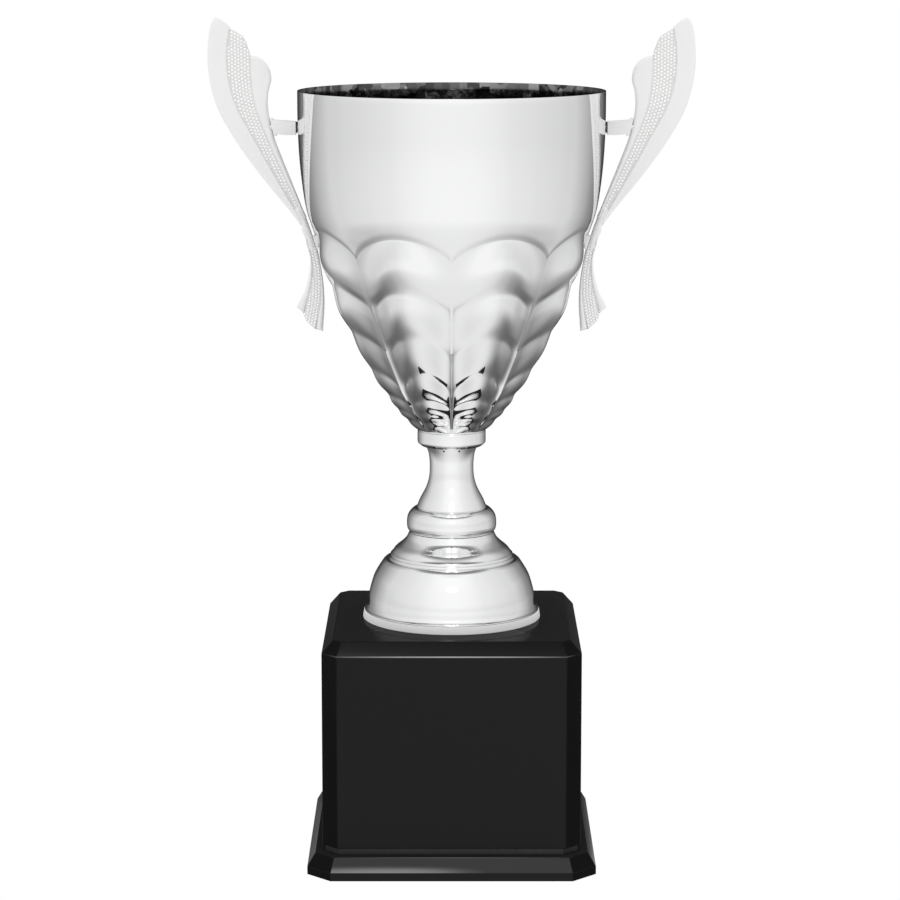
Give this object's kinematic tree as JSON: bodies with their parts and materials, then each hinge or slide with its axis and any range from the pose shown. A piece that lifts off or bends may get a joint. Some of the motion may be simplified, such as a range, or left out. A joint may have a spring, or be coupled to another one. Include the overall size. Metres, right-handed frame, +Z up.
{
  "type": "cup trophy",
  "caption": "Two-handled silver cup trophy: scalloped bowl with beaded wing handles on a turned stem, bolted through to a black square base with a bevelled plinth.",
  "frame": {"origin": "centre of the base's footprint, on the surface it stands on", "axes": "+Z up through the cup, +X towards one handle, -Y towards the front face of the base"},
  "size_m": [0.254, 0.161, 0.4428],
  "materials": {
    "polished_silver": "bright polished silver plate, very slightly satin",
    "satin_silver": "satin silver plate, near white",
    "black_gloss": "black gloss lacquer look, moulded",
    "black_board": "matt black",
    "black_fibre": "matt black fibre washer",
    "zinc_steel": "bright zinc plate",
    "felt": "black pressed felt",
    "hardboard": "smooth brown hardboard",
    "cement": "rough cast cement"
  },
  "bodies": {
    "root": {"bottom_board": "hardboard", "board_screws": "zinc_steel", "feet": "felt", "plinth": "black_gloss", "shadow_board": "black_board", "plinth_screws": "zinc_steel", "base_block": "black_gloss", "ballast": "cement", "clamp_plate": "zinc_steel", "spring_washer": "zinc_steel", "base_nut": "zinc_steel", "tie_rod": "zinc_steel", "foot_ring": "polished_silver", "bell": "polished_silver", "flare": "polished_silver", "knop": "polished_silver", "stem": "polished_silver", "collar": "polished_silver", "bowl": "polished_silver", "bowl_washer": "zinc_steel", "bowl_nut": "zinc_steel", "handle_left": "satin_silver", "handle_right": "satin_silver", "upper_bracket_left": "satin_silver", "upper_bracket_right": "satin_silver", "lower_lug_left": "satin_silver", "lower_lug_right": "satin_silver", "upper_gaskets": "black_fibre", "lower_gaskets": "black_fibre", "upper_screws": "zinc_steel", "lower_screws": "zinc_steel", "upper_washers": "zinc_steel", "lower_washers": "zinc_steel"}
  },
  "joints": []
}
